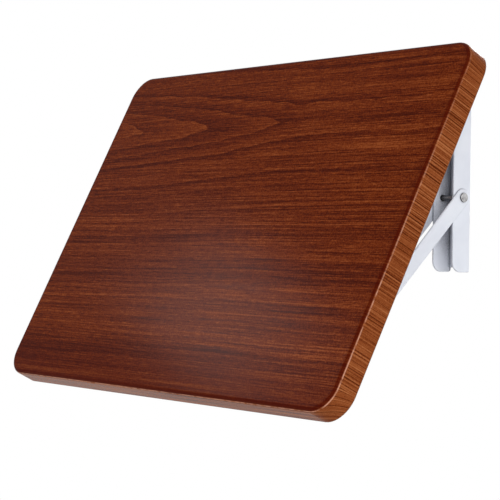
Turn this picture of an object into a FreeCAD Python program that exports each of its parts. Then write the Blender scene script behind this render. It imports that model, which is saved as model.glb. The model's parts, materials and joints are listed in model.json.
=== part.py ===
import FreeCAD, Part
import math
import os

# A wall mounted drop leaf table: one board on two folding steel brackets.
# Sizes are in mm. The wall is the plane Y = 0, the room lies at negative Y, and Z points up.
# The origin lies on the wall, midway between the four outer wall screws.

os.makedirs("parts", exist_ok=True)
V = FreeCAD.Vector
X_AXIS = V(1, 0, 0)
CENTRE = V(0, 0, 0)

# Leaf
leaf_width = 600.0
leaf_depth = 400.0
leaf_thick = 25.0
leaf_corner_r = 28.0
leaf_edge_r = 4.5
foil_thick = 0.5
backing_thick = 0.5

# Rest pose and travel: the leaf hangs this far below level
leaf_drop_deg = 63.0
fold_travel_deg = 90.0

# Layout of a bracket, measured out from the wall and down from the hinge axis
bracket_inset = 75.0
hinge_out = 13.0
hinge_height = 102.0
strut_out = 12.5
strut_down = 119.5
strut_length = 187.0
slide_rest_up = 0.9
slide_level_up = 15.64
leaf_wall_gap = 1.0
board_above_hinge = 24.5

# Sheet sizes
arm_sheet = 1.5
strut_sheet = 2.0
lever_sheet = 2.5

# Clearances
run_clear = 0.05
side_clear = 0.5
head_clear = 0.3
slot_clear = 0.2
far_hole_clear = 0.7

# Wall arm
wall_arm_half = 15.0
wall_arm_deep = 24.0
wall_arm_above = 12.5
wall_arm_below = 195.0
wall_arm_corner_r = 11.0
wall_arm_heel_r = 3.5
wall_arm_bend_r = 2.0
wall_arm_notch = 4.5
wall_hole_r = 2.75
wall_hole_downs = (32.0, 82.0, 172.0)

# Pins and rivets
hinge_pin_r = 4.0
hinge_head_r = 7.0
hinge_head_high = 2.0
strut_pin_r = 2.5
strut_head_r = 4.7
strut_head_high = 1.5
slide_pin_r = 3.0
slide_head_r = 4.5
slide_head_high = 1.5
rivet_r = 3.0
rivet_head_r = 5.0
rivet_head_high = 1.5
head_edge_r = 0.5

# Strut
strut_root_r = 8.7
strut_tip_r = 7.0
strut_web_start = 82.0
strut_web_end = 156.0
strut_bend_r = 1.6

# Table arm
table_arm_mouth = 10.8
table_arm_end_r = 10.5
table_arm_toe = 8.0
table_arm_reach = 324.0
table_arm_nose_r = 14.0
table_arm_bend_r = 1.2
slot_stations = 19

# Hinge spacers and slide washers
spacer_r = 8.0
washer_r = 5.7

# Screws that hold the table arm to the board
screw_r = 1.9
screw_head_r = 3.8
screw_head_high = 2.2
screw_long = 17.0
screw_tip_long = 3.5
screw_tip_share = 0.25
screw_recess_wide = 0.8
screw_recess_span = 4.2
screw_recess_deep = 1.2
screw_hole_r = 2.2
screw_first = 24.0
screw_pitch = 92.0
screw_count = 4

# Release lever, placed from the slide pin's level position
lever_back = 44.0
lever_pivot_up = 2.0
lever_boss_r = 7.0
lever_bar_up = 8.0
lever_bar_down = 5.0
lever_catch_gap = 0.5
lever_catch_up = 19.0
lever_tip_flat = 2.4
lever_ramp_run = 9.5
lever_ramp_up = 5.5
lever_tail_run = 38.0
lever_tail_up = -4.0
lever_tail_down = -9.5
lever_tab_run = 13.0
lever_tab_wide = 15.0
lever_lug_half = 4.0
lever_lug_up = 17.0
lever_gap = 0.4
stop_r = 2.0
stop_back = 22.0

# Lever spring, an extension spring between two posts
post_r = 1.5
post_up = 13.0
post_back = 49.0
post_past_wire = 1.6
wire_r = 0.45
coil_r = 2.6
coil_turns = 18
loop_r = 2.25
coil_inset = 6.5
spring_off_lever = 3.4
straight_share = 0.0004

# Sizes that follow from the values above
bracket_spacing = leaf_width - bracket_inset - bracket_inset
rest_fold_deg = fold_travel_deg - leaf_drop_deg
leaf_back = hinge_out - leaf_wall_gap
strut_in = wall_arm_half + side_clear
strut_half = strut_in + strut_sheet
strut_head_top = strut_half + head_clear + strut_head_high
table_in = strut_head_top + side_clear
table_half = table_in + arm_sheet
web_under = board_above_hinge - arm_sheet
lever_in = table_half + lever_gap
lever_out = lever_in + lever_sheet
spring_level = lever_out + spring_off_lever


def point(x, out, up):
    # A point at a distance across, out from the axis into the room, and up
    return V(x, -out, up)


def polygon(outline, x):
    # A closed face in the plane across x, from (out, up) pairs
    corners = [point(x, out, up) for out, up in outline]
    return Part.Face(Part.makePolygon(corners + corners[:1]))


def slab(outline, x_low, x_high):
    # A plate with straight edges, from one side to the other
    return polygon(outline, x_low).extrude(V(x_high - x_low, 0, 0))


def block(x_low, x_high, out_low, out_high, up_low, up_high):
    # A box with its sides square to the frame
    corner = V(x_low, -out_high, up_low)
    return Part.makeBox(x_high - x_low, out_high - out_low, up_high - up_low, corner)


def rod(radius, x_low, x_high, out, up):
    # A round bar that lies across the bracket
    return Part.makeCylinder(radius, x_high - x_low, point(x_low, out, up), X_AXIS)


def rivet_head(radius, x_seat, x_face, out, up):
    # A rivet head with a softened rim on the face away from its seat
    disc = rod(radius, min(x_seat, x_face), max(x_seat, x_face), out, up)
    rim = []
    for edge in disc.Edges:
        box = edge.BoundBox
        if abs(box.XMin - x_face) < run_clear and abs(box.XMax - x_face) < run_clear:
            rim.append(edge)
    return disc.makeFillet(head_edge_r, rim)


def along_x(edge):
    # True for an edge that runs straight across the bracket
    box = edge.BoundBox
    return box.YLength < run_clear and box.ZLength < run_clear


def round_corner(shape, radius, out, up):
    # Round the edges across the bracket at one corner of a side view
    spot = point(0, out, up)
    found = []
    for edge in shape.Edges:
        middle = edge.BoundBox.Center
        near = abs(middle.y - spot.y) < run_clear and abs(middle.z - spot.z) < run_clear
        if along_x(edge) and near:
            found.append(edge)
    return shape.makeFillet(radius, found)


def strut_lean(fold_deg, slide_up):
    # The angle between strut and leaf that puts the far pin at a height in the leaf's own frame
    fold = math.radians(fold_deg)
    rise = slide_up + strut_down * math.sin(fold) - set_back * math.cos(fold)
    return math.degrees(math.asin(rise / strut_length))


# The strut follows the leaf at a constant ratio that meets the pin's heights at rest and at level
set_back = strut_out - hinge_out
strut_lean_deg = strut_lean(rest_fold_deg, slide_rest_up)
strut_ratio = 1 + (strut_lean(fold_travel_deg, slide_level_up) - strut_lean_deg) / leaf_drop_deg
strut_drop_deg = leaf_drop_deg - strut_lean_deg


def slide_point(fold_deg):
    # Where the strut's far pin stands in the leaf's own frame, with the leaf raised by this angle
    fold = math.radians(fold_deg)
    lean_deg = strut_lean_deg + (strut_ratio - 1) * (fold_deg - rest_fold_deg)
    lean = math.radians(lean_deg)
    out = set_back * math.sin(fold) + strut_down * math.cos(fold) + strut_length * math.cos(lean)
    up = set_back * math.cos(fold) - strut_down * math.sin(fold) + strut_length * math.sin(lean)
    return out, up


level_out, level_up = slide_point(fold_travel_deg)
lever_pivot_out = level_out - lever_back


def slot_cutter():
    # The arched slot that the strut's far pin follows as the leaf turns
    half = slide_pin_r + slot_clear
    steps = slot_stations - 1
    track = [slide_point(fold_travel_deg * i / steps) for i in range(slot_stations)]
    upper, lower, headings = [], [], []
    for i, (out, up) in enumerate(track):
        before = track[max(i - 1, 0)]
        after = track[min(i + 1, steps)]
        run = math.hypot(after[0] - before[0], after[1] - before[1])
        heading = ((after[0] - before[0]) / run, (after[1] - before[1]) / run)
        headings.append(heading)
        upper.append(point(-table_half, out - half * heading[1], up + half * heading[0]))
        lower.append(point(-table_half, out + half * heading[1], up - half * heading[0]))
    first = point(-table_half, track[0][0] - half * headings[0][0], track[0][1] - half * headings[0][1])
    last = point(-table_half, track[-1][0] + half * headings[-1][0], track[-1][1] + half * headings[-1][1])
    top = Part.BSplineCurve()
    top.interpolate(upper)
    bottom = Part.BSplineCurve()
    bottom.interpolate(lower)
    near_end = Part.Arc(upper[0], first, lower[0])
    far_end = Part.Arc(upper[-1], last, lower[-1])
    edges = [top.toShape(), far_end.toShape(), bottom.toShape(), near_end.toShape()]
    outline = Part.Wire(Part.__sortEdges__(edges))
    return Part.Face(outline).extrude(V(table_half + table_half, 0, 0))


def hang_leaf(shape):
    # Turn a piece of the level leaf down to the rest pose and set it on the hinge axis
    shape = shape.copy()
    shape.rotate(CENTRE, X_AXIS, leaf_drop_deg)
    shape.translate(point(0, hinge_out, hinge_height))
    return shape


def hang_strut(shape):
    # Turn a level strut down to the rest pose and set it on its pivot
    shape = shape.copy()
    shape.rotate(CENTRE, X_AXIS, strut_drop_deg)
    shape.translate(point(0, strut_out, hinge_height - strut_down))
    return shape


def on_wall(shape):
    # Set a piece drawn about the hinge axis onto the wall
    shape = shape.copy()
    shape.translate(point(0, hinge_out, hinge_height))
    return shape


def rounded_board(inset, up_low, up_high, edge_r):
    # The board's outline, drawn in by an inset, with the upper rim rounded where a radius is given
    half = leaf_width / 2 - inset
    board = block(-half, half, -leaf_back + inset, leaf_depth - leaf_back - inset, up_low, up_high)
    uprights = [e for e in board.Edges if e.BoundBox.ZLength > run_clear]
    board = board.makeFillet(leaf_corner_r - inset, uprights)
    if edge_r:
        rim = [e for e in board.Edges if abs(e.BoundBox.ZMin - up_high) < run_clear]
        board = board.makeFillet(edge_r, rim)
    return board


board_low = board_above_hinge + backing_thick
board_high = board_above_hinge + leaf_thick


def screw_spots():
    # Where the screws stand: across, and out from the hinge
    outs = [screw_first + screw_pitch * i for i in range(screw_count)]
    return [(side * bracket_spacing / 2, out) for side in (-1, 1) for out in outs]


def drill_screws(board):
    # Pilot holes for the screws of both table arms
    for across, out in screw_spots():
        start = point(across, out, board_above_hinge)
        board = board.cut(Part.makeCylinder(screw_r + run_clear, screw_long, start))
    return board


def leaf_board():
    # The fibreboard core
    core = rounded_board(foil_thick, board_low, board_high - foil_thick, leaf_edge_r - foil_thick)
    return hang_leaf(drill_screws(core))


def leaf_foil():
    # The wood grain foil, wrapped over the upper face and down all four edges
    whole = rounded_board(0, board_low, board_high, leaf_edge_r)
    core = rounded_board(foil_thick, board_low, board_high - foil_thick, leaf_edge_r - foil_thick)
    return hang_leaf(whole.cut(core))


def leaf_backing():
    # The plain sheet on the underside
    return hang_leaf(drill_screws(rounded_board(0, board_above_hinge, board_low, 0)))


def wall_arm():
    # A channel that is open to the room, screwed to the wall through its web
    back = -hinge_out
    front = wall_arm_deep - hinge_out
    arm = block(-wall_arm_half, wall_arm_half, back, front, -wall_arm_below, wall_arm_above)
    arm = round_corner(arm, wall_arm_corner_r, front, -wall_arm_below)
    arm = round_corner(arm, wall_arm_corner_r, front, wall_arm_above)
    uprights = [e for e in arm.Edges if e.BoundBox.ZLength > strut_down]
    bends = [e for e in uprights if abs(e.BoundBox.Center.y + back) < run_clear]
    arm = arm.makeFillet(wall_arm_bend_r, bends)
    inside = wall_arm_half - arm_sheet
    arm = arm.cut(block(-inside, inside, back + arm_sheet, wall_arm_deep, -wall_arm_below, wall_arm_above))
    arm = arm.cut(rod(hinge_pin_r + run_clear, -wall_arm_half, wall_arm_half, 0, 0))
    arm = arm.cut(rod(strut_pin_r + run_clear, -wall_arm_half, inside, set_back, -strut_down))
    arm = arm.cut(rod(strut_pin_r + far_hole_clear, inside, wall_arm_half, set_back, -strut_down))
    flat = wall_arm_half - wall_arm_bend_r
    foot = -wall_arm_below + wall_arm_notch
    arm = arm.cut(block(-flat, flat, back, back + arm_sheet, -wall_arm_below, foot))
    heel_out = back + wall_arm_heel_r
    heel_up = -wall_arm_below + wall_arm_heel_r
    heel = block(-wall_arm_half, wall_arm_half, back, heel_out, -wall_arm_below, heel_up)
    arm = arm.cut(heel.cut(rod(wall_arm_heel_r, -wall_arm_half, wall_arm_half, heel_out, heel_up)))
    for down in wall_hole_downs:
        arm = arm.cut(Part.makeCylinder(wall_hole_r, arm_sheet, point(0, back, -down), V(0, -1, 0)))
    return on_wall(arm)


def hinge_pin():
    # The main pivot, headed outside both cheeks of the table arm
    inner = table_half + head_clear
    outer = inner + hinge_head_high
    pin = rod(hinge_pin_r, -inner, inner, 0, 0)
    pin = pin.fuse(rivet_head(hinge_head_r, inner, outer, 0, 0))
    pin = pin.fuse(rivet_head(hinge_head_r, -inner, -outer, 0, 0))
    return on_wall(pin.removeSplitter())


def hinge_spacers():
    # Two collars that centre the wall arm between the cheeks of the table arm
    collar = rod(spacer_r, wall_arm_half, table_in - head_clear, 0, 0)
    collar = collar.cut(rod(hinge_pin_r + run_clear, wall_arm_half, table_half, 0, 0))
    return on_wall(Part.makeCompound([collar, collar.mirror(CENTRE, X_AXIS)]))


def strut_pin():
    # The rivet that carries the strut on the wall arm
    inner = strut_half + head_clear
    pin = rod(strut_pin_r, -inner, inner, 0, 0)
    pin = pin.fuse(rivet_head(strut_head_r, inner, strut_head_top, 0, 0))
    pin = pin.fuse(rivet_head(strut_head_r, -inner, -strut_head_top, 0, 0))
    pin = pin.removeSplitter()
    pin.translate(point(0, strut_out, hinge_height - strut_down))
    return pin


def strut_edge(side):
    # Where a straight long edge touches the two round ends of the strut: side is 1 above, -1 below
    turn = side * math.acos((strut_root_r - strut_tip_r) / strut_length)
    root = (strut_root_r * math.cos(turn), strut_root_r * math.sin(turn))
    tip = (strut_length + strut_tip_r * math.cos(turn), strut_tip_r * math.sin(turn))
    return root, tip


def strut_side(x_low, x_high):
    # The strut's side view: a tapered bar with a round end at each pin
    top_root, top_tip = [point(x_low, *spot) for spot in strut_edge(1)]
    low_root, low_tip = [point(x_low, *spot) for spot in strut_edge(-1)]
    root = Part.Arc(low_root, point(x_low, -strut_root_r, 0), top_root)
    tip = Part.Arc(top_tip, point(x_low, strut_length + strut_tip_r, 0), low_tip)
    top = Part.LineSegment(top_root, top_tip)
    low = Part.LineSegment(low_tip, low_root)
    outline = Part.Wire([root.toShape(), top.toShape(), tip.toShape(), low.toShape()])
    return Part.Face(outline).extrude(V(x_high - x_low, 0, 0))


def strut():
    # Two cheeks outside the wall arm, joined by a web along their lower edge beyond its foot
    low_root, low_tip = strut_edge(-1)
    bar = strut_side(-strut_half, strut_half)
    edges = [e for e in bar.Edges if abs(e.BoundBox.YLength) > strut_down and e.BoundBox.Center.z < 0]
    bar = bar.makeFillet(strut_bend_r, edges)
    rise = (low_tip[1] - low_root[1]) / (low_tip[0] - low_root[0])
    web_low = low_root[1] + rise * (strut_web_start - low_root[0]) + strut_sheet
    web_high = low_root[1] + rise * (strut_web_end - low_root[0]) + strut_sheet
    past = strut_length + strut_root_r
    hollow = ((-past, -past), (strut_web_start, -past), (strut_web_start, web_low))
    hollow += ((strut_web_end, web_high), (strut_web_end, -past), (past, -past), (past, past), (-past, past))
    bar = bar.cut(slab(hollow, -strut_in, strut_in))
    bar = bar.cut(rod(strut_pin_r + run_clear, -strut_half, strut_half, 0, 0))
    bar = bar.cut(rod(slide_pin_r + run_clear, -strut_half, strut_half, strut_length, 0))
    return hang_strut(bar)


def slide_pin():
    # The strut's far pin, riding in the slots, with a long end that the release lever catches
    short = table_half + head_clear
    long = lever_out + lever_catch_gap
    pin = rod(slide_pin_r, -short, long, strut_length, 0)
    head_out = long + slide_head_high
    pin = pin.fuse(rivet_head(slide_head_r, long, head_out, strut_length, 0))
    foot_out = short + slide_head_high
    pin = pin.fuse(rivet_head(slide_head_r, -short, -foot_out, strut_length, 0))
    return hang_strut(pin.removeSplitter())


def slide_washers():
    # Two washers that keep the strut central in the table arm
    ring = rod(washer_r, strut_half, table_in - head_clear, strut_length, 0)
    ring = ring.cut(rod(slide_pin_r + run_clear, strut_half, table_half, strut_length, 0))
    return hang_strut(Part.makeCompound([ring, ring.mirror(CENTRE, X_AXIS)]))


def table_arm():
    # A channel under the board, wide enough to close over the strut and the wall arm
    end = table_arm_end_r
    low = -table_arm_mouth
    bow = end * math.sqrt(0.5)
    tail = Part.Arc(point(-table_half, -end, 0), point(-table_half, -bow, -bow), point(-table_half, 0, -end))
    corners = [(0, -end), (table_arm_toe, low), (table_arm_reach, low)]
    corners += [(table_arm_reach, board_above_hinge), (-end, board_above_hinge), (-end, 0)]
    spots = [point(-table_half, *corner) for corner in corners]
    lines = [Part.LineSegment(one, other).toShape() for one, other in zip(spots, spots[1:])]
    outline = Part.Wire([tail.toShape()] + lines)
    arm = Part.Face(outline).extrude(V(table_half + table_half, 0, 0))
    arm = round_corner(arm, table_arm_nose_r, table_arm_reach, low)
    span = table_arm_reach / 2
    bends = [e for e in arm.Edges if e.BoundBox.YLength > span and e.BoundBox.ZMin > web_under]
    arm = arm.makeFillet(table_arm_bend_r, bends)
    arm = arm.cut(block(-table_in, table_in, -leaf_back, table_arm_reach, low, web_under))
    arm = arm.cut(rod(hinge_pin_r + run_clear, -table_half, table_half, 0, 0))
    arm = arm.cut(slot_cutter())
    arm = arm.cut(rod(rivet_r + run_clear, table_in, table_half, lever_pivot_out, lever_pivot_up))
    arm = arm.cut(rod(post_r + run_clear, table_in, table_half, lever_pivot_out - post_back, post_up))
    stop_up = lever_bar_up + head_clear + stop_r
    arm = arm.fuse(rod(stop_r, table_half, lever_out, level_out - stop_back, stop_up))
    for i in range(screw_count):
        start = point(0, screw_first + screw_pitch * i, web_under)
        arm = arm.cut(Part.makeCylinder(screw_hole_r, arm_sheet, start))
    return hang_leaf(arm)


def leaf_screws():
    # Pan head screws, driven up through the web of the table arm
    stem = Part.makeCylinder(screw_r, screw_long - screw_tip_long - arm_sheet, point(0, 0, web_under))
    tip_start = web_under + screw_long - screw_tip_long - arm_sheet
    tip_r = screw_r * screw_tip_share
    stem = stem.fuse(Part.makeCone(screw_r, tip_r, screw_tip_long, point(0, 0, tip_start)))
    head = Part.makeCylinder(screw_head_r, screw_head_high, point(0, 0, web_under - screw_head_high))
    rim = [e for e in head.Edges if e.BoundBox.ZMax < web_under - run_clear]
    head = head.makeFillet(screw_head_high / 2, rim)
    screw = head.fuse(stem).removeSplitter()
    half_wide = screw_recess_wide / 2
    half_span = screw_recess_span / 2
    face = web_under - screw_head_high
    for wide, span in ((half_wide, half_span), (half_span, half_wide)):
        screw = screw.cut(block(-wide, wide, -span, span, face, face + screw_recess_deep))
    row = []
    for i in range(screw_count):
        one = screw.copy()
        one.translate(point(0, screw_first + screw_pitch * i, 0))
        row.append(one)
    return hang_leaf(Part.makeCompound(row))


def release_lever():
    # A flat lever whose catch stands behind the slide pin when the leaf is level
    catch = level_out + slide_pin_r + lever_catch_gap
    ramp = catch + lever_tip_flat + lever_ramp_run
    tail = level_out + lever_tail_run
    outline = [(lever_pivot_out, lever_bar_up), (catch, lever_bar_up), (catch, lever_catch_up)]
    outline += [(catch + lever_tip_flat, lever_catch_up), (ramp, lever_ramp_up), (tail, lever_tail_up)]
    outline += [(tail, lever_tail_down), (catch, -lever_bar_down), (lever_pivot_out, -lever_bar_down)]
    lever = slab(outline, lever_in, lever_out)
    lever = lever.fuse(rod(lever_boss_r, lever_in, lever_out, lever_pivot_out, lever_pivot_up))
    lug = (lever_pivot_out - lever_lug_half, lever_pivot_out + lever_lug_half)
    lever = lever.fuse(block(lever_in, lever_out, *lug, lever_pivot_up, lever_lug_up))
    tab = (tail - lever_tab_run, tail, lever_tail_down, lever_tail_down + lever_sheet)
    lever = lever.fuse(block(lever_in, lever_out + lever_tab_wide, *tab)).removeSplitter()
    for out, up in ((lug[0], lever_lug_up), (lug[1], lever_lug_up)):
        lever = round_corner(lever, lever_lug_half - run_clear, out, up)
    post_end = spring_level + wire_r + post_past_wire
    lever = lever.fuse(rod(post_r, lever_out, post_end, lever_pivot_out, post_up))
    lever = lever.cut(rod(rivet_r + run_clear, lever_in, lever_out, lever_pivot_out, lever_pivot_up))
    return hang_leaf(lever)


def lever_rivet():
    # The lever's pivot, flush inside the channel and headed outside
    inner = lever_out + head_clear
    outer = inner + rivet_head_high
    rivet = rod(rivet_r, table_in, inner, lever_pivot_out, lever_pivot_up)
    rivet = rivet.fuse(rivet_head(rivet_head_r, inner, outer, lever_pivot_out, lever_pivot_up))
    return hang_leaf(rivet.removeSplitter())


def spring_post():
    # The fixed post that holds the far end of the lever spring
    post_end = spring_level + wire_r + post_past_wire
    return hang_leaf(rod(post_r, table_in, post_end, lever_pivot_out - post_back, post_up))


def arc_edge(start, heading, end):
    # The arc that leaves a point along a heading and ends at another point
    chord = end - start
    length = chord.Length
    chord = chord * (1 / length)
    along = heading.dot(chord)
    aside = heading - chord * along
    if aside.Length < straight_share:
        return Part.LineSegment(start, end).toShape()
    aside.normalize()
    bow = length / 2 * math.tan(math.acos(max(-1, min(1, along))) / 2)
    middle = (start + end) * 0.5 + aside * bow
    return Part.Arc(start, middle, end).toShape()


def biarc(start, heading, end, leaving):
    # Two arcs that join two points and keep both headings
    span = end - start
    lean = span.dot(heading + leaving)
    spread = 2 * (1 - heading.dot(leaving))
    reach = (math.sqrt(lean * lean + spread * span.dot(span)) - lean) / spread
    joint = (start + end + (heading - leaving) * reach) * 0.5
    return arc_edge(start, heading, joint), arc_edge(end, leaving * -1, joint)


def post_loop(post_out, way):
    # Quarter points of the loop round a post: way is 1 into the coil and -1 out of it
    stations = []
    for i in range(4):
        turn = -math.pi * i / 2
        out = post_out + way * loop_r * math.cos(turn)
        spot = point(spring_level, out, post_up + loop_r * math.sin(turn))
        stations.append((spot, point(0, math.sin(turn), -way * math.cos(turn))))
    return stations[::way]


def coil_stations(first_out, length):
    # Quarter points of the coil, without the first and last, where the wire leaves for the loops
    stations = []
    quarters = 4 * coil_turns
    pace = length / (2 * math.pi * coil_turns)
    for i in range(1, quarters):
        turn = math.pi * i / 2
        out = first_out + length * i / quarters
        spot = point(spring_level + coil_r * math.sin(turn), out, post_up + coil_r * math.cos(turn))
        heading = point(coil_r * math.cos(turn), pace, -coil_r * math.sin(turn))
        stations.append((spot, heading.normalize()))
    return stations


def wire_gap(path):
    # The least gap between stretches of the wire that lie apart along it
    spots = path.discretize(Distance=wire_r)
    apart = int(4 * coil_r / wire_r)
    least = path.Length
    for i, one in enumerate(spots):
        for other in spots[i + apart:]:
            least = min(least, one.distanceToPoint(other))
    return least - wire_r - wire_r


def lever_spring():
    # One unbroken wire
    far = lever_pivot_out
    near = far - post_back
    coil = coil_stations(near + coil_inset, post_back - coil_inset - coil_inset)
    stations = post_loop(near, 1) + coil + post_loop(far, -1)
    edges = []
    for (start, heading), (end, leaving) in zip(stations, stations[1:]):
        edges += biarc(start, heading, end, leaving)
    path = Part.Wire(Part.__sortEdges__(edges))
    gap = wire_gap(path)
    print("lever spring, least gap of the wire to itself:", round(gap, 3))
    spot, heading = stations[0]
    ring = Part.Wire(Part.makeCircle(wire_r, spot, heading))
    shell = Part.BRepOffsetAPI.MakePipeShell(path)
    shell.add(ring)
    shell.build()
    shell.makeSolid()
    return hang_leaf(shell.shape())


sides = {"left": -1, "right": 1}
bracket_pieces = {
    "wall_arm": wall_arm, "hinge_pin": hinge_pin, "hinge_spacers": hinge_spacers,
    "strut": strut, "strut_pin": strut_pin, "slide_pin": slide_pin, "slide_washers": slide_washers,
    "table_arm": table_arm, "leaf_screws": leaf_screws, "release_lever": release_lever,
    "lever_rivet": lever_rivet, "spring_post": spring_post, "lever_spring": lever_spring,
}


def export(name, shape):
    # Write one named piece and print its size
    shape.exportStep("parts/" + name + ".step")
    print(name, len(shape.Solids), "solids", round(shape.Volume, 1), "mm3 valid", shape.isValid())


for name, make in (("leaf_board", leaf_board), ("leaf_foil", leaf_foil), ("leaf_backing", leaf_backing)):
    export(name, make())

for piece, make in bracket_pieces.items():
    shape = make()
    for side, sign in sides.items():
        # The levers of both brackets face the middle of the table
        one = shape.copy() if sign < 0 else shape.mirror(CENTRE, X_AXIS)
        one.translate(V(sign * bracket_spacing / 2, 0, 0))
        export(piece + "_" + side, one)

print("strut turns with the leaf at a ratio of", round(strut_ratio, 4))
print("slot end at level:", round(level_out, 2), round(level_up, 2))
print("hinge axis at:", point(0, hinge_out, hinge_height))
print("strut pivot at:", point(0, strut_out, hinge_height - strut_down))
lever_axis = FreeCAD.Rotation(X_AXIS, leaf_drop_deg).multVec(point(0, lever_pivot_out, lever_pivot_up))
print("lever pivot at:", lever_axis + point(0, hinge_out, hinge_height))
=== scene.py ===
import json
import math

import bpy
from mathutils import Matrix, Vector

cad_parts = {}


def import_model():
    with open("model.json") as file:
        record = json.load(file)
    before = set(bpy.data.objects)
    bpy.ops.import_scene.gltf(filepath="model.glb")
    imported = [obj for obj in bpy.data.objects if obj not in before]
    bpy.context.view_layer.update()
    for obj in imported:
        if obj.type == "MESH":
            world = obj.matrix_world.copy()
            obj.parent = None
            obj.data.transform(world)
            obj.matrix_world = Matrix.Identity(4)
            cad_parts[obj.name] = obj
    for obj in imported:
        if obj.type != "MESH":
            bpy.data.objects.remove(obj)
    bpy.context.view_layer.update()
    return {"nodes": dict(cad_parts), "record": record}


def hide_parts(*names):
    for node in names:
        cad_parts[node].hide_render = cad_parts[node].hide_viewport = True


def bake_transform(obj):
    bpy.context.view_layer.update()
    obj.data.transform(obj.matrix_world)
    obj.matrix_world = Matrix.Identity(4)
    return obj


# A wall mounted drop leaf table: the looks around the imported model, in metres.

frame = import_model()
nodes = frame["nodes"]
scene = bpy.context.scene
scene.view_settings.view_transform = "Standard"

# Layout that the part's source gives
hinge = Vector((0, -0.013, 0.102))
leaf_drop = math.radians(63.0)
leaf_top = 0.0495
leaf_half_wide = 0.300
leaf_half_deep = 0.200
leaf_middle_out = 0.188
leaf_corner_r = 0.028
bracket_x = 0.225

# Camera, fitted to the leaf's edges in the photograph
camera_spot = Vector((1.5642, -1.25938, -0.0693))
camera_right = Vector((0.59538, 0.80330, 0.0158))
camera_up = Vector((-0.01141, -0.01121, 0.99987))
camera_back = Vector((0.80336, -0.59548, 0.0025))
camera_lens_mm = 128.68
camera_sensor_mm = 36.0

# Lever spring in the level leaf, with its posts this far out from the hinge
spring_out_near = 0.0358
spring_out_far = 0.0848
spring_up = 0.013
spring_side = 0.0276
spring_wire_r = 0.00045
spring_coil_r = 0.0026
spring_loop_r = 0.00225
spring_inset = 0.0065
spring_turns = 26
spring_steps = 16
spring_wire_smoothness = 3

# Growth rings of the walnut grain, with tongues along a line this far out from the hinge
tongue_out = 0.066
tongue_tip_squared = 0.00005
tongue_fade = 420.0
tongue_start = 0.05
tongue_long = 0.115
tongue_taper_share = 0.135
tongue_calm_share = 0.75
wander_wide = 0.024
ripple_wide = 0.005
step_wide = 0.009
rings_per_metre = 58.0

# Noise drawn out along the grain: waves per metre along and across it, detail and roughness
grain_noise = {
    "wander": (1.7, 6.0, 2.0, 0.5),
    "ripple": (9.0, 30.0, 3.0, 0.5),
    "steps": (26.0, 70.0, 1.0, 0.5),
    "bands": (0.7, 30.0, 2.0, 0.5),
    "lines": (0.8, 230.0, 3.0, 0.6),
    "fibres": (7.0, 620.0, 2.0, 0.6),
    "pores": (70.0, 1300.0, 1.0, 0.5),
    "edge_lines": (5.0, 620.0, 3.0, 0.7),
}
press_rate = 620.0
patch_rate = 130.0
patch_range = (0.32, 0.58)

# How much each layer of the grain counts on the face and on the edge
face_shares = {"bands": 0.56, "edges": 0.29, "lines": 0.95, "fibres": 0.90, "pores": 0.75, "press": 0.90}
edge_shares = {"bands": 0.42, "lines": 0.22, "edge_lines": 2.1, "fibres": 1.2, "press": 0.7}

# Where the foil changes along or across the leaf, or inside its rim: from, to, and the shares there
fibre_along_shares = (-0.15, 0.22, 1.0, 1.35)
edge_front_shares = (0.10, 0.30, 1.1, 0.7)
edge_back_shares = (-0.01, 0.05, 0.5, 1.0)
# Painted shade just inside the rim
inside_rim_shade_shares = (0.010, 0.003, 0.0, 0.28)
# Painted shadow towards the front
face_front_shadow_shares = (0.32, 0.39, 0.0, 0.4)
# Painted highlight on the edge's rim, stronger towards the front
rim_highlight_front_shares = (0.06, 0.30, 0.2, 0.85)

# Where the foil changes over the rim, by how far the surface faces up: from and to
# Painted shade over the face's rim
rim_shade_first = (0.9995, 0.97)
rim_shade_last = (0.50, 0.75)
# Painted highlight along the edge's rim
rim_highlight_first = (0.60, 0.45)
rim_highlight_last = (0.22, 0.40)
edge_to_face = (0.45, 0.70)
rim_shade_share = 0.6

# Surface of the foil
foil_rough = 0.19
foil_rough_change = 0.15
foil_pore_share = 0.6
foil_grain_deep = 0.0002
foil_grain_share = 0.06
foil_specular = 0.012

# Colours of the foil as they show on screen; in a ramp, each follows its place there
face_stops = ((0.18, (64, 15, 3)), (0.36, (88, 28, 6)), (0.52, (105, 38, 10)),
              (0.68, (125, 53, 17)), (0.88, (150, 75, 33)))
edge_stops = ((0.14, (76, 28, 9)), (0.34, (111, 51, 21)), (0.46, (131, 66, 31)),
              (0.70, (146, 80, 42)), (0.92, (168, 103, 61)))
# Painted shade over the rim and just inside it
rim_shade_tone = (66, 9, 4)
inside_rim_shade_tone = (74, 14, 5)
# Painted shadow towards the front
face_front_shadow_tone = (80, 17, 7)
# Painted highlight along the edge's rim
rim_highlight_tone = (206, 150, 124)

# Fibreboard core
board_fibre_rates = Vector((700, 900, 1600))
board_cloud_rate = 60.0
board_fibre_share = 0.8
board_fibre_deep = 0.0003
board_fibre_bump = 0.35
board_rough = 0.85
board_stops = ((0.25, (128, 98, 66)), (0.5, (158, 126, 88)), (0.75, (184, 152, 112)))

# Backing sheet
sheet_fleck_rates = Vector((500, 900, 500))
sheet_cloud_rate = 9.0
sheet_fleck_share = 0.7
sheet_fleck_deep = 0.0001
sheet_fleck_bump = 0.12
sheet_rough = 0.62
sheet_rough_change = 0.2
sheet_stops = ((0.20, (108, 72, 50)), (0.5, (120, 82, 58)), (0.80, (130, 92, 67)))

# White powder coat
coat_edge_r = 0.0011
coat_peel_rate = 620.0
coat_peel_deep = 0.0001
coat_peel_bump = 0.10
coat_cloud_rate = 26.0
coat_scuff_rate = 190.0
coat_scuff_range = (0.54, 0.70)
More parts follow.
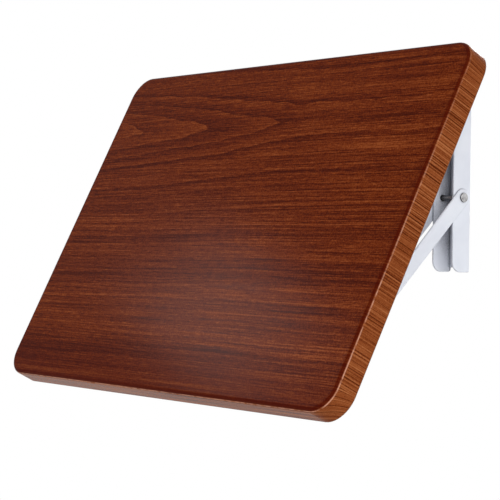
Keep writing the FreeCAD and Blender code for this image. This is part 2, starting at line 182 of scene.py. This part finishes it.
# Share of painted shade at every edge of the coat; the scuff shares add wear
coat_edge_shade_share = 0.62
arm_scuff_share = 0.35
lever_scuff_share = 0.38
coat_rough = 0.40
coat_rough_change = 0.25
coat_specular = 0.35
coat_stops = ((0.30, (221, 224, 233)), (0.55, (228, 231, 239)), (0.75, (232, 235, 242)))
# Colour of the painted edge shade and of the wear
coat_edge_shade_and_wear_tone = (118, 121, 131)

# Painted shade in corners, gaps and joints: reach, how open they are where it begins and where it is full,
# share, colour
corner_shade = (0.006, 0.9, 0.35, 0.8, (120, 126, 138))
inside_shade = (0.06, 0.26, 0.08, 0.9, (40, 44, 54))
joint_shade = (0.03, 0.95, 0.6, 0.92, (34, 31, 30))

# Plated steels: darkest and brightest colour, and roughness
steels = {
    "rivet_steel": ((150, 149, 149), (206, 205, 205), 0.34),
    "screw_steel": ((104, 104, 106), (168, 168, 170), 0.36),
    "spring_steel": ((112, 113, 116), (186, 187, 190), 0.28),
}
steel_mark_rates = Vector((2600, 500, 500))
steel_mark_share = 0.5
steel_mark_deep = 0.00005
steel_mark_bump = 0.15
steel_dull_rate = 240.0
steel_rough_change = 0.35
steel_stop_shares = (0.28, 0.52, 0.74)
steel_edge_r = 0.0003

# Nylon
nylon_cloud_rate = 300.0
nylon_grain_rate = 2200.0
nylon_grain_deep = 0.00005
nylon_grain_bump = 0.2
nylon_edge_r = 0.0003
nylon_rough = 0.48
nylon_rough_change = 0.2
nylon_stops = ((0.3, (206, 202, 190)), (0.5, (219, 215, 204)), (0.7, (228, 225, 215)))

# How alike the rounded and the plain facing are at the edges that soft_edges marks: from and to
edge_alike = (0.985, 0.80)

# Stage
floor_height = -0.62
floor_half = 6.0
floor_shadow_r = 0.8
floor_fade_r = 1.8
floor_glow_share = 0.93
floor_tone = (244, 244, 244)
background_tone = (255, 255, 255)

# Light of the room: its strength, the least share of it, its tint and the way that it mainly comes from
room_light = 0.65
room_light_least_share = 0.25
room_light_tint = (0.96, 0.98, 1.0, 1.0)
room_light_way = Vector((0.0, -0.6, 0.8))

# Lamps: where each stands, the point it faces, its size and its power
table_middle = (0.0, -0.1, 0.0)
sheen_middle = (0.06, -0.19, -0.13)
lamps = {
    "key": ((2.25, -0.85, 0.50), table_middle, 1.5, 25.5),
    "fill": ((-0.9, -2.3, 0.4), table_middle, 1.2, 1.5),
    "sheen": ((-1.71, -1.04, 0.86), sheen_middle, 0.3, 3.0),
    "back": ((-0.8, 2.0, 0.5), table_middle, 1.0, 24.0),
}


def tone(red, green, blue):
    # A colour as it shows on screen, from 0 to 255, in the renderer's linear values
    linear = []
    for value in (red, green, blue):
        share = value / 255
        linear.append(share / 12.92 if share <= 0.04045 else ((share + 0.055) / 1.055) ** 2.4)
    return (*linear, 1.0)


def tones(stops):
    # The stops of a colour ramp in the renderer's values
    return [(position, tone(*colour)) for position, colour in stops]


def halfway(first, second):
    # The colour halfway between two others
    return tuple((one + other) / 2 for one, other in zip(first, second))


class Graph:
    # A material's nodes, made and joined by short calls

    def __init__(self, name):
        self.material = bpy.data.materials.new(name)
        self.material.use_nodes = True
        self.tree = self.material.node_tree
        self.shader = self.tree.nodes["Principled BSDF"]
        self.where = self.add("ShaderNodeTexCoord")
        self.place = self.where.outputs["Object"]

    def feed(self, socket, value):
        if isinstance(value, bpy.types.NodeSocket):
            self.tree.links.new(value, socket)
        else:
            socket.default_value = value

    def add(self, kind, inputs=None, **settings):
        node = self.tree.nodes.new(kind)
        for key, value in settings.items():
            setattr(node, key, value)
        for key, value in (inputs or {}).items():
            self.feed(node.inputs[key], value)
        return node

    def math(self, operation, first, second=0.0, third=0.0):
        return self.add("ShaderNodeMath", {0: first, 1: second, 2: third}, operation=operation).outputs[0]

    def times(self, first, second):
        return self.math("MULTIPLY", first, second)

    def change(self, base, value, share):
        # The base, changed by a share of a value
        return self.math("MULTIPLY_ADD", value, share, base)

    def centred(self, value):
        # A value from 0 to 1, moved to lie round zero
        return self.math("SUBTRACT", value, 0.5)

    def vector(self, operation, first, second):
        return self.add("ShaderNodeVectorMath", {0: first, 1: second}, operation=operation).outputs[0]

    def length(self, vector):
        return self.add("ShaderNodeVectorMath", {0: vector}, operation="LENGTH").outputs["Value"]

    def join(self, x, y, z=0.0):
        return self.add("ShaderNodeCombineXYZ", {0: x, 1: y, 2: z}).outputs[0]

    def split(self, vector):
        return self.add("ShaderNodeSeparateXYZ", {0: vector}).outputs

    def noise(self, vector, scale=1.0, detail=2.0, roughness=0.5):
        inputs = {"Vector": vector, "Scale": scale, "Detail": detail, "Roughness": roughness}
        return self.add("ShaderNodeTexNoise", inputs).outputs[0]

    def spread(self, value, low, high, to_low=0.0, to_high=1.0):
        inputs = {"Value": value, "From Min": low, "From Max": high, "To Min": to_low, "To Max": to_high}
        return self.add("ShaderNodeMapRange", inputs, interpolation_type="SMOOTHSTEP").outputs[0]

    def ramp(self, value, stops):
        node = self.add("ShaderNodeValToRGB", {0: value})
        elements = node.color_ramp.elements
        while len(elements) < len(stops):
            elements.new(0.5)
        for element, (position, colour) in zip(elements, stops):
            element.position = position
            element.color = colour
        return node.outputs[0]

    def mix(self, share, first, second):
        node = self.add("ShaderNodeMix", data_type="RGBA")
        for index, value in ((0, share), (6, first), (7, second)):
            self.feed(node.inputs[index], value)
        return node.outputs[2]

    def bump(self, height, distance, strength, normal=None):
        node = self.add("ShaderNodeBump", {"Height": height, "Distance": distance, "Strength": strength})
        if normal is not None:
            self.feed(node.inputs["Normal"], normal)
        return node.outputs[0]

    def soft_edges(self, radius):
        # The surface's direction with its sharp edges rounded, and a mask of those edges
        rounded = self.add("ShaderNodeBevel", {"Radius": radius}, samples=6).outputs[0]
        plain = self.add("ShaderNodeNewGeometry").outputs["Normal"]
        alike = self.add("ShaderNodeVectorMath", {0: rounded, 1: plain}, operation="DOT_PRODUCT")
        return rounded, self.spread(alike.outputs["Value"], *edge_alike)

    def paint_shade(self, colour, reach, open_share, closed_share, share, shade_colour):
        # A colour with painted shade in the corners and gaps that other surfaces close in within this reach
        seen = self.add("ShaderNodeAmbientOcclusion", {"Distance": reach}, samples=8).outputs["AO"]
        amount = self.times(self.spread(seen, open_share, closed_share), share)
        return self.mix(amount, colour, tone(*shade_colour))

    def finish(self, **values):
        names = {"colour": "Base Color", "roughness": "Roughness", "metallic": "Metallic",
                 "normal": "Normal", "specular": "Specular IOR Level"}
        for key, value in values.items():
            self.feed(self.shader.inputs[names[key]], value)
        return self.material


def leaf_turned(graph, vector):
    # A vector in the leaf's own frame: along the wall, towards the wall, and up
    inputs = {"Vector": vector, "Angle": -leaf_drop}
    return graph.add("ShaderNodeVectorRotate", inputs, rotation_type="X_AXIS").outputs[0]


def leaf_place(graph):
    # The place on the surface, from the hinge
    return leaf_turned(graph, graph.vector("SUBTRACT", graph.place, hinge))


def drawn_out(graph, name, along, across):
    # Noise drawn out along the grain
    along_rate, across_rate, detail, roughness = grain_noise[name]
    spot = graph.join(graph.times(along, along_rate), graph.times(across, across_rate))
    return graph.centred(graph.noise(spot, detail=detail, roughness=roughness))


def rim_distance(graph, along, across):
    # How far a point of the face lies inside the leaf's outline, near its rounded rectangle's edge
    past = []
    for value, middle, half in ((along, 0.0, leaf_half_wide), (across, leaf_middle_out, leaf_half_deep)):
        off = graph.math("ABSOLUTE", graph.math("SUBTRACT", value, middle))
        past.append(graph.math("MAXIMUM", graph.math("SUBTRACT", off, half - leaf_corner_r), 0.0))
    return graph.math("SUBTRACT", leaf_corner_r, graph.length(graph.join(*past)))


def growth_rings(graph, along, across):
    # Ring lines straight along the board, with long tongues near the wall side that close towards its
    # middle, and how near a point is to the tongues
    wander = drawn_out(graph, "wander", along, across)
    ripple = drawn_out(graph, "ripple", along, across)
    steps = drawn_out(graph, "steps", along, across)
    aside = graph.math("SUBTRACT", graph.change(across, wander, wander_wide), tongue_out)
    squared = graph.times(aside, aside)
    bow = graph.math("SQRT", graph.math("ADD", squared, tongue_tip_squared))
    near = graph.math("DIVIDE", 1.0, graph.change(1.0, squared, tongue_fade))
    reach = graph.math("MINIMUM", graph.math("ADD", along, tongue_start), tongue_long)
    ring = graph.change(bow, graph.times(reach, tongue_taper_share), near)
    ring = graph.change(ring, ripple, ripple_wide)
    return graph.change(ring, graph.times(steps, near), step_wide), near


def grain_layers(graph, wrapped, along, across):
    # Slow bands, ring edges, growth lines, fibres, pores and press texture, from coarse to fine
    ring, near = growth_rings(graph, along, across)
    edges = graph.centred(graph.math("FRACT", graph.times(ring, rings_per_metre)))
    lines = drawn_out(graph, "lines", along, ring)
    calm = graph.change(1.0, near, -tongue_calm_share)
    fibres = drawn_out(graph, "fibres", along, across)
    return {
        "bands": drawn_out(graph, "bands", along, ring),
        "edges": graph.times(edges, near),
        "lines": graph.times(lines, calm),
        "fibres": graph.times(fibres, graph.spread(along, *fibre_along_shares)),
        "pores": drawn_out(graph, "pores", along, across),
        "press": graph.centred(graph.noise(wrapped, press_rate, roughness=0.6)),
    }


def shade_of(graph, layers, shares):
    # A middle shade, changed by a share of each layer
    shade = 0.5
    for name, share in shares.items():
        shade = graph.change(shade, layers[name], share)
    return shade


def foil_face(graph, layers, along, across, upward):
    # Painted shade darkens the face over its rim and just inside it, and a painted shadow darkens it
    # towards the front
    face = graph.ramp(shade_of(graph, layers, face_shares), tones(face_stops))
    rim = graph.times(graph.spread(upward, *rim_shade_first), graph.spread(upward, *rim_shade_last))
    face = graph.mix(graph.times(rim, rim_shade_share), face, tone(*rim_shade_tone))
    inside_rim_shade = graph.spread(rim_distance(graph, along, across), *inside_rim_shade_shares)
    face = graph.mix(inside_rim_shade, face, tone(*inside_rim_shade_tone))
    # Painted shadow towards the front
    return graph.mix(graph.spread(across, *face_front_shadow_shares), face, tone(*face_front_shadow_tone))


def foil_edge(graph, layers, wrapped, along, across, upward):
    # The edge is paler, with finer lines, and has a thin painted highlight along its top rim, in patches
    lines = drawn_out(graph, "edge_lines", along, across)
    lines = graph.times(lines, graph.spread(across, *edge_front_shares))
    lines = graph.times(lines, graph.spread(across, *edge_back_shares))
    edge = graph.ramp(shade_of(graph, {**layers, "edge_lines": lines}, edge_shares), tones(edge_stops))
    # Painted highlight along the rim, in patches
    rim_highlight = graph.times(graph.spread(upward, *rim_highlight_last), graph.spread(upward, *rim_highlight_first))
    patchy = graph.spread(graph.noise(wrapped, patch_rate, detail=3.0, roughness=0.6), *patch_range)
    highlight_patches = graph.times(patchy, graph.spread(across, *rim_highlight_front_shares))
    return graph.mix(graph.times(rim_highlight, highlight_patches), edge, tone(*rim_highlight_tone))


def wood_foil():
    # Walnut foil, pressed over the face and the edges, with the grain along the wall
    graph = Graph("walnut_foil")
    place = leaf_place(graph)
    facing = leaf_turned(graph, graph.where.outputs["Normal"])
    upward = graph.split(facing)[2]
    down = graph.math("SUBTRACT", leaf_top, graph.split(place)[2])
    over_edge = graph.add("ShaderNodeVectorMath", {0: facing, "Scale": down}, operation="SCALE").outputs[0]
    wrapped = graph.vector("ADD", place, over_edge)
    flat = graph.split(wrapped)
    along = flat[0]
    across = graph.times(flat[1], -1.0)
    layers = grain_layers(graph, wrapped, along, across)
    face = foil_face(graph, layers, along, across, upward)
    edge = foil_edge(graph, layers, wrapped, along, across, upward)
    colour = graph.mix(graph.spread(upward, *edge_to_face), edge, face)
    roughness = graph.change(foil_rough, layers["fibres"], foil_rough_change)
    grain = graph.change(layers["fibres"], layers["pores"], foil_pore_share)
    normal = graph.bump(graph.math("ADD", grain, layers["press"]), foil_grain_deep, foil_grain_share)
    return graph.finish(colour=colour, roughness=roughness, specular=foil_specular, normal=normal)


def fibreboard():
    # Pressed wood fibre
    graph = Graph("fibreboard")
    place = leaf_place(graph)
    fibre = graph.noise(graph.vector("MULTIPLY", place, board_fibre_rates), detail=3.0, roughness=0.7)
    cloud = graph.noise(place, board_cloud_rate)
    shade = graph.change(cloud, graph.centred(fibre), board_fibre_share)
    normal = graph.bump(fibre, board_fibre_deep, board_fibre_bump)
    return graph.finish(colour=graph.ramp(shade, tones(board_stops)), roughness=board_rough, normal=normal)


def backing():
    # Plain brown balancing sheet on the underside, with a faint paper fleck
    graph = Graph("backing_sheet")
    place = leaf_place(graph)
    fleck = graph.noise(graph.vector("MULTIPLY", place, sheet_fleck_rates), detail=3.0, roughness=0.65)
    cloud = graph.noise(place, sheet_cloud_rate, detail=3.0)
    shade = graph.change(cloud, graph.centred(fleck), sheet_fleck_share)
    roughness = graph.change(sheet_rough, graph.centred(cloud), sheet_rough_change)
    normal = graph.bump(fleck, sheet_fleck_deep, sheet_fleck_bump)
    return graph.finish(colour=graph.ramp(shade, tones(sheet_stops)), roughness=roughness, normal=normal)


def white_coat(name, scuff_share):
    # Powder coat: a faint orange peel, slight cloudiness, painted shade along the edges with some scuffed
    # wear, and painted shade in the corners and channels
    graph = Graph(name)
    peel = graph.noise(graph.place, coat_peel_rate)
    cloud = graph.noise(graph.place, coat_cloud_rate, detail=3.0, roughness=0.55)
    scuff = graph.noise(graph.place, coat_scuff_rate, detail=4.0, roughness=0.7)
    scuff = graph.spread(scuff, *coat_scuff_range)
    rounded, rim = graph.soft_edges(coat_edge_r)
    # Painted shade along every edge, with scuffed wear on top
    edge_shade_and_wear = graph.times(rim, graph.change(coat_edge_shade_share, scuff, scuff_share))
    colour = graph.mix(edge_shade_and_wear, graph.ramp(cloud, tones(coat_stops)), tone(*coat_edge_shade_and_wear_tone))
    # Painted shade near contacts and inside the channels
    colour = graph.paint_shade(colour, *corner_shade)
    colour = graph.paint_shade(colour, *inside_shade)
    roughness = graph.change(coat_rough, graph.centred(cloud), coat_rough_change)
    normal = graph.bump(peel, coat_peel_deep, coat_peel_bump, rounded)
    return graph.finish(colour=colour, roughness=roughness, specular=coat_specular, normal=normal)


def turned_steel(name, dark_tone, bright_tone, rough):
    # Bright plated steel with fine drawing marks round the pin, dull patches, and painted shade in the
    # joints
    graph = Graph(name)
    dark = tone(*dark_tone)
    bright = tone(*bright_tone)
    marks = graph.noise(graph.vector("MULTIPLY", graph.place, steel_mark_rates), roughness=0.6)
    dull = graph.noise(graph.place, steel_dull_rate, detail=3.0, roughness=0.6)
    shade = graph.change(dull, graph.centred(marks), steel_mark_share)
    stops = list(zip(steel_stop_shares, (dark, halfway(dark, bright), bright)))
    # Painted shade where the pins sit in their joints
    colour = graph.paint_shade(graph.ramp(shade, stops), *joint_shade)
    roughness = graph.change(rough, graph.centred(dull), steel_rough_change)
    normal = graph.bump(marks, steel_mark_deep, steel_mark_bump, graph.soft_edges(steel_edge_r)[0])
    return graph.finish(colour=colour, roughness=roughness, metallic=1.0, normal=normal)


def nylon():
    # Milky moulded plastic
    graph = Graph("nylon")
    cloud = graph.noise(graph.place, nylon_cloud_rate)
    grain = graph.noise(graph.place, nylon_grain_rate)
    colour = graph.ramp(cloud, tones(nylon_stops))
    roughness = graph.change(nylon_rough, graph.centred(grain), nylon_rough_change)
    normal = graph.bump(grain, nylon_grain_deep, nylon_grain_bump, graph.soft_edges(nylon_edge_r)[0])
    return graph.finish(colour=colour, roughness=roughness, normal=normal)


def dress():
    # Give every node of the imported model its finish, by the slot that the record names for it
    finishes = {
        "wood_foil": wood_foil(),
        "fibreboard": fibreboard(),
        "backing": backing(),
        "white_steel": white_coat("white_powder_coat", arm_scuff_share),
        "lever_coat": white_coat("lever_powder_coat", lever_scuff_share),
        "nylon": nylon(),
    }
    for name, look in steels.items():
        finishes[name] = turned_steel(name, *look)
    for entry in frame["record"]["subparts"]:
        slots = nodes[entry["node"]].data.materials
        slots.clear()
        slots.append(finishes[entry["material_slot"]])
    return finishes


def leaf_point(side, x, out, up):
    # A point of the level leaf at one bracket, turned down to the rest pose
    level = Vector((side * (bracket_x - x), -out, up))
    return hinge + Matrix.Rotation(leaf_drop, 3, "X") @ level


def spring_loop(post_out, way):
    # Three quarters of a turn round a post: way is 1 into the coil and -1 out of it
    spots = []
    for i in range(spring_steps * 3 // 4 + 1):
        turn = -2 * math.pi * i / spring_steps
        out = post_out + way * spring_loop_r * math.cos(turn)
        spots.append((spring_side, out, spring_up + spring_loop_r * math.sin(turn)))
    return spots[::way]


def spring_coil():
    # Close turns between the loops, without the quarter turns at both ends
    first = spring_out_near + spring_inset
    length = spring_out_far - spring_out_near - spring_inset - spring_inset
    total = spring_turns * spring_steps
    spots = []
    for i in range(spring_steps // 4, total - spring_steps // 4 + 1):
        turn = 2 * math.pi * i / spring_steps
        spots.append((spring_side + spring_coil_r * math.sin(turn), first + length * i / total,
                      spring_up + spring_coil_r * math.cos(turn)))
    return spots


def lever_spring(name, side, finish):
    # One wire, drawn as a smooth curve and kept as a mesh
    curve = bpy.data.curves.new(name + "_line", "CURVE")
    curve.dimensions = "3D"
    curve.bevel_depth = spring_wire_r
    curve.bevel_resolution = spring_wire_smoothness
    curve.use_fill_caps = True
    path = spring_loop(spring_out_near, 1) + spring_coil() + spring_loop(spring_out_far, -1)
    spline = curve.splines.new("NURBS")
    spline.points.add(len(path) - 1)
    for point, spot in zip(spline.points, path):
        point.co = (*leaf_point(side, *spot), 1.0)
    spline.order_u = 3
    spline.use_endpoint_u = True
    spline.resolution_u = 2
    drawn = bpy.data.objects.new(name + "_line", curve)
    mesh = bpy.data.meshes.new_from_object(drawn)
    bpy.data.objects.remove(drawn)
    mesh.name = name
    mesh.shade_smooth()
    mesh.materials.clear()
    mesh.materials.append(finish)
    piece = bpy.data.objects.new(name, mesh)
    scene.collection.objects.link(piece)
    return piece


def background_rays(tree):
    # 1 for the rays that show the background: seen directly, mirrored or through glass
    path = tree.nodes.new("ShaderNodeLightPath")
    total = path.outputs["Is Camera Ray"]
    for name in ("Is Glossy Ray", "Is Transmission Ray"):
        add = tree.nodes.new("ShaderNodeMath")
        add.operation = "ADD"
        add.use_clamp = True
        tree.links.new(total, add.inputs[0])
        tree.links.new(path.outputs[name], add.inputs[1])
        total = add.outputs[0]
    return total


def floor_finish():
    # Pale, with the part's shadow; it fades into the white background, and is seen through from below
    graph = Graph("floor")
    diffuse = graph.add("ShaderNodeBsdfDiffuse", {"Color": tone(*floor_tone)})
    glow = graph.add("ShaderNodeEmission", {"Strength": 1.0})
    from_middle = graph.length(graph.place)
    glow_share = graph.spread(from_middle, floor_shadow_r, floor_fade_r, floor_glow_share, 1.0)
    shown = graph.times(background_rays(graph.tree), glow_share)
    above = graph.add("ShaderNodeMixShader", {0: shown, 1: diffuse.outputs[0], 2: glow.outputs[0]})
    below = graph.add("ShaderNodeBsdfTransparent")
    from_below = graph.add("ShaderNodeNewGeometry").outputs["Backfacing"]
    both = graph.add("ShaderNodeMixShader", {0: from_below, 1: above.outputs[0], 2: below.outputs[0]})
    graph.feed(graph.tree.nodes["Material Output"].inputs["Surface"], both.outputs[0])
    graph.tree.nodes.remove(graph.shader)
    return graph.material


def floor():
    # One large square under the table
    mesh = bpy.data.meshes.new("floor")
    corners = [(-1, -1), (1, -1), (1, 1), (-1, 1)]
    spots = [(x * floor_half, y * floor_half, floor_height) for x, y in corners]
    mesh.from_pydata(spots, [], [(0, 1, 2, 3)])
    mesh.materials.append(floor_finish())
    piece = bpy.data.objects.new("floor", mesh)
    scene.collection.objects.link(piece)


def world():
    # Soft light on a white background, stronger from the room and from above than from the wall and below
    made = bpy.data.worlds.new("studio")
    made.use_nodes = True
    tree = made.node_tree
    tree.nodes.clear()
    shown = tree.nodes.new("ShaderNodeBackground")
    shown.inputs["Strength"].default_value = 1.0
    shown.inputs["Color"].default_value = tone(*background_tone)
    light = tree.nodes.new("ShaderNodeBackground")
    light.inputs["Color"].default_value = room_light_tint
    where = tree.nodes.new("ShaderNodeTexCoord")
    towards = tree.nodes.new("ShaderNodeVectorMath")
    towards.operation = "DOT_PRODUCT"
    towards.inputs[1].default_value = room_light_way
    amount = tree.nodes.new("ShaderNodeMapRange")
    amount.inputs["From Min"].default_value = -1.0
    amount.inputs["To Min"].default_value = room_light * room_light_least_share
    amount.inputs["To Max"].default_value = room_light
    tree.links.new(where.outputs["Generated"], towards.inputs[0])
    tree.links.new(towards.outputs["Value"], amount.inputs["Value"])
    tree.links.new(amount.outputs[0], light.inputs["Strength"])
    mix = tree.nodes.new("ShaderNodeMixShader")
    output = tree.nodes.new("ShaderNodeOutputWorld")
    tree.links.new(background_rays(tree), mix.inputs[0])
    tree.links.new(light.outputs[0], mix.inputs[1])
    tree.links.new(shown.outputs[0], mix.inputs[2])
    tree.links.new(mix.outputs[0], output.inputs[0])
    scene.world = made


def lamp(name, spot, target, size, power):
    # A soft square lamp that faces a point of the table
    light = bpy.data.lights.new(name, "AREA")
    light.size = size
    light.energy = power
    made = bpy.data.objects.new(name, light)
    made.location = spot
    made.rotation_mode = "QUATERNION"
    made.rotation_quaternion = (Vector(target) - Vector(spot)).to_track_quat("-Z", "Y")
    scene.collection.objects.link(made)


def camera():
    # The photograph's viewpoint
    lens = bpy.data.cameras.new("camera")
    lens.lens = camera_lens_mm
    lens.sensor_width = camera_sensor_mm
    made = bpy.data.objects.new("camera", lens)
    turn = Matrix((camera_right, camera_up, camera_back)).transposed()
    made.matrix_world = Matrix.Translation(camera_spot) @ turn.to_4x4()
    scene.collection.objects.link(made)
    scene.camera = made


finishes = dress()
for side_name, side in (("left", -1), ("right", 1)):
    spring = lever_spring("spring_" + side_name, side, finishes["spring_steel"])
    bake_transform(spring)
    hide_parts("lever_spring_" + side_name)

floor()
world()
for lamp_name, setting in lamps.items():
    lamp(lamp_name, *setting)
camera()
